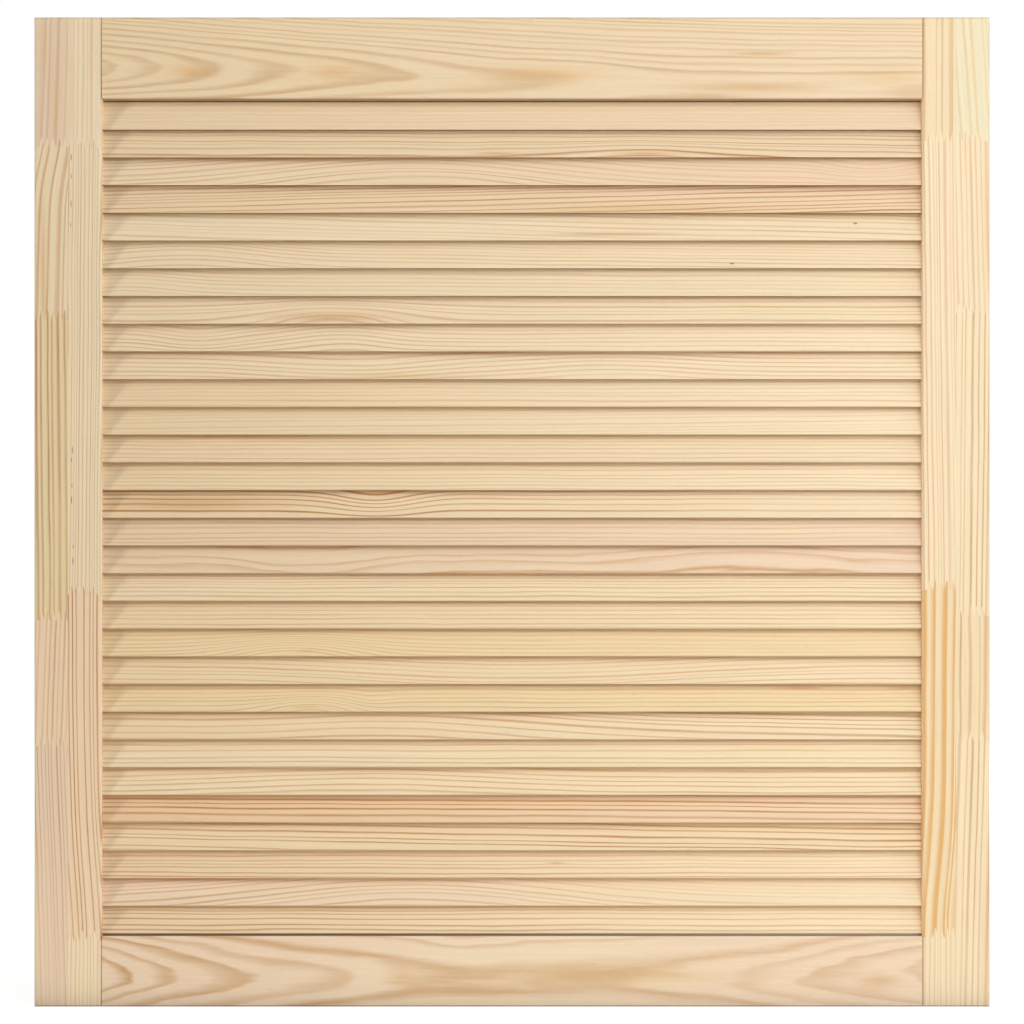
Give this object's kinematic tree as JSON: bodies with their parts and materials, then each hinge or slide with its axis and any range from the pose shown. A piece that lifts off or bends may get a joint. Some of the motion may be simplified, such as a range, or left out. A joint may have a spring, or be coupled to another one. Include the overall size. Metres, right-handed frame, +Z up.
{
  "type": "louvred cabinet door",
  "caption": "Flat rectangular door of bare pine: a dowelled frame of stiles and rails filled with fixed, steeply leaning louvre slats.",
  "frame": {"origin": "middle of the bottom edge, halfway through the thickness", "axes": "+Z up, +X to the right seen from the front, the front faces -Y"},
  "size_m": [0.594, 0.021, 0.615],
  "materials": {
    "slat_pine": "planed, bare",
    "stile_pine": "planed, bare",
    "rail_pine": "planed, bare",
    "dowel_beech": "turned, bare"
  },
  "bodies": {
    "root": {"top_rail": "rail_pine", "bottom_rail": "rail_pine", "louvre_slat_01": "slat_pine", "louvre_slat_02": "slat_pine", "louvre_slat_03": "slat_pine", "louvre_slat_04": "slat_pine", "louvre_slat_05": "slat_pine", "louvre_slat_06": "slat_pine", "louvre_slat_07": "slat_pine", "louvre_slat_08": "slat_pine", "louvre_slat_09": "slat_pine", "louvre_slat_10": "slat_pine", "louvre_slat_11": "slat_pine", "louvre_slat_12": "slat_pine", "louvre_slat_13": "slat_pine", "louvre_slat_14": "slat_pine", "louvre_slat_15": "slat_pine", "louvre_slat_16": "slat_pine", "louvre_slat_17": "slat_pine", "louvre_slat_18": "slat_pine", "louvre_slat_19": "slat_pine", "louvre_slat_20": "slat_pine", "louvre_slat_21": "slat_pine", "louvre_slat_22": "slat_pine", "louvre_slat_23": "slat_pine", "louvre_slat_24": "slat_pine", "louvre_slat_25": "slat_pine", "louvre_slat_26": "slat_pine", "louvre_slat_27": "slat_pine", "louvre_slat_28": "slat_pine", "louvre_slat_29": "slat_pine", "louvre_slat_30": "slat_pine", "left_stile_outer_block_1": "stile_pine", "left_stile_outer_block_2": "stile_pine", "left_stile_outer_block_3": "stile_pine", "left_stile_outer_block_4": "stile_pine", "left_stile_outer_block_5": "stile_pine", "left_stile_inner_block_1": "stile_pine", "left_stile_inner_block_2": "stile_pine", "left_stile_inner_block_3": "stile_pine", "left_stile_inner_block_4": "stile_pine", "right_stile_outer_block_1": "stile_pine", "right_stile_outer_block_2": "stile_pine", "right_stile_outer_block_3": "stile_pine", "right_stile_outer_block_4": "stile_pine", "right_stile_outer_block_5": "stile_pine", "right_stile_inner_block_1": "stile_pine", "right_stile_inner_block_2": "stile_pine", "right_stile_inner_block_3": "stile_pine", "right_stile_inner_block_4": "stile_pine", "left_dowel_top_upper": "dowel_beech", "left_dowel_top_lower": "dowel_beech", "left_dowel_bottom_upper": "dowel_beech", "left_dowel_bottom_lower": "dowel_beech", "right_dowel_top_upper": "dowel_beech", "right_dowel_top_lower": "dowel_beech", "right_dowel_bottom_upper": "dowel_beech", "right_dowel_bottom_lower": "dowel_beech"}
  },
  "joints": []
}
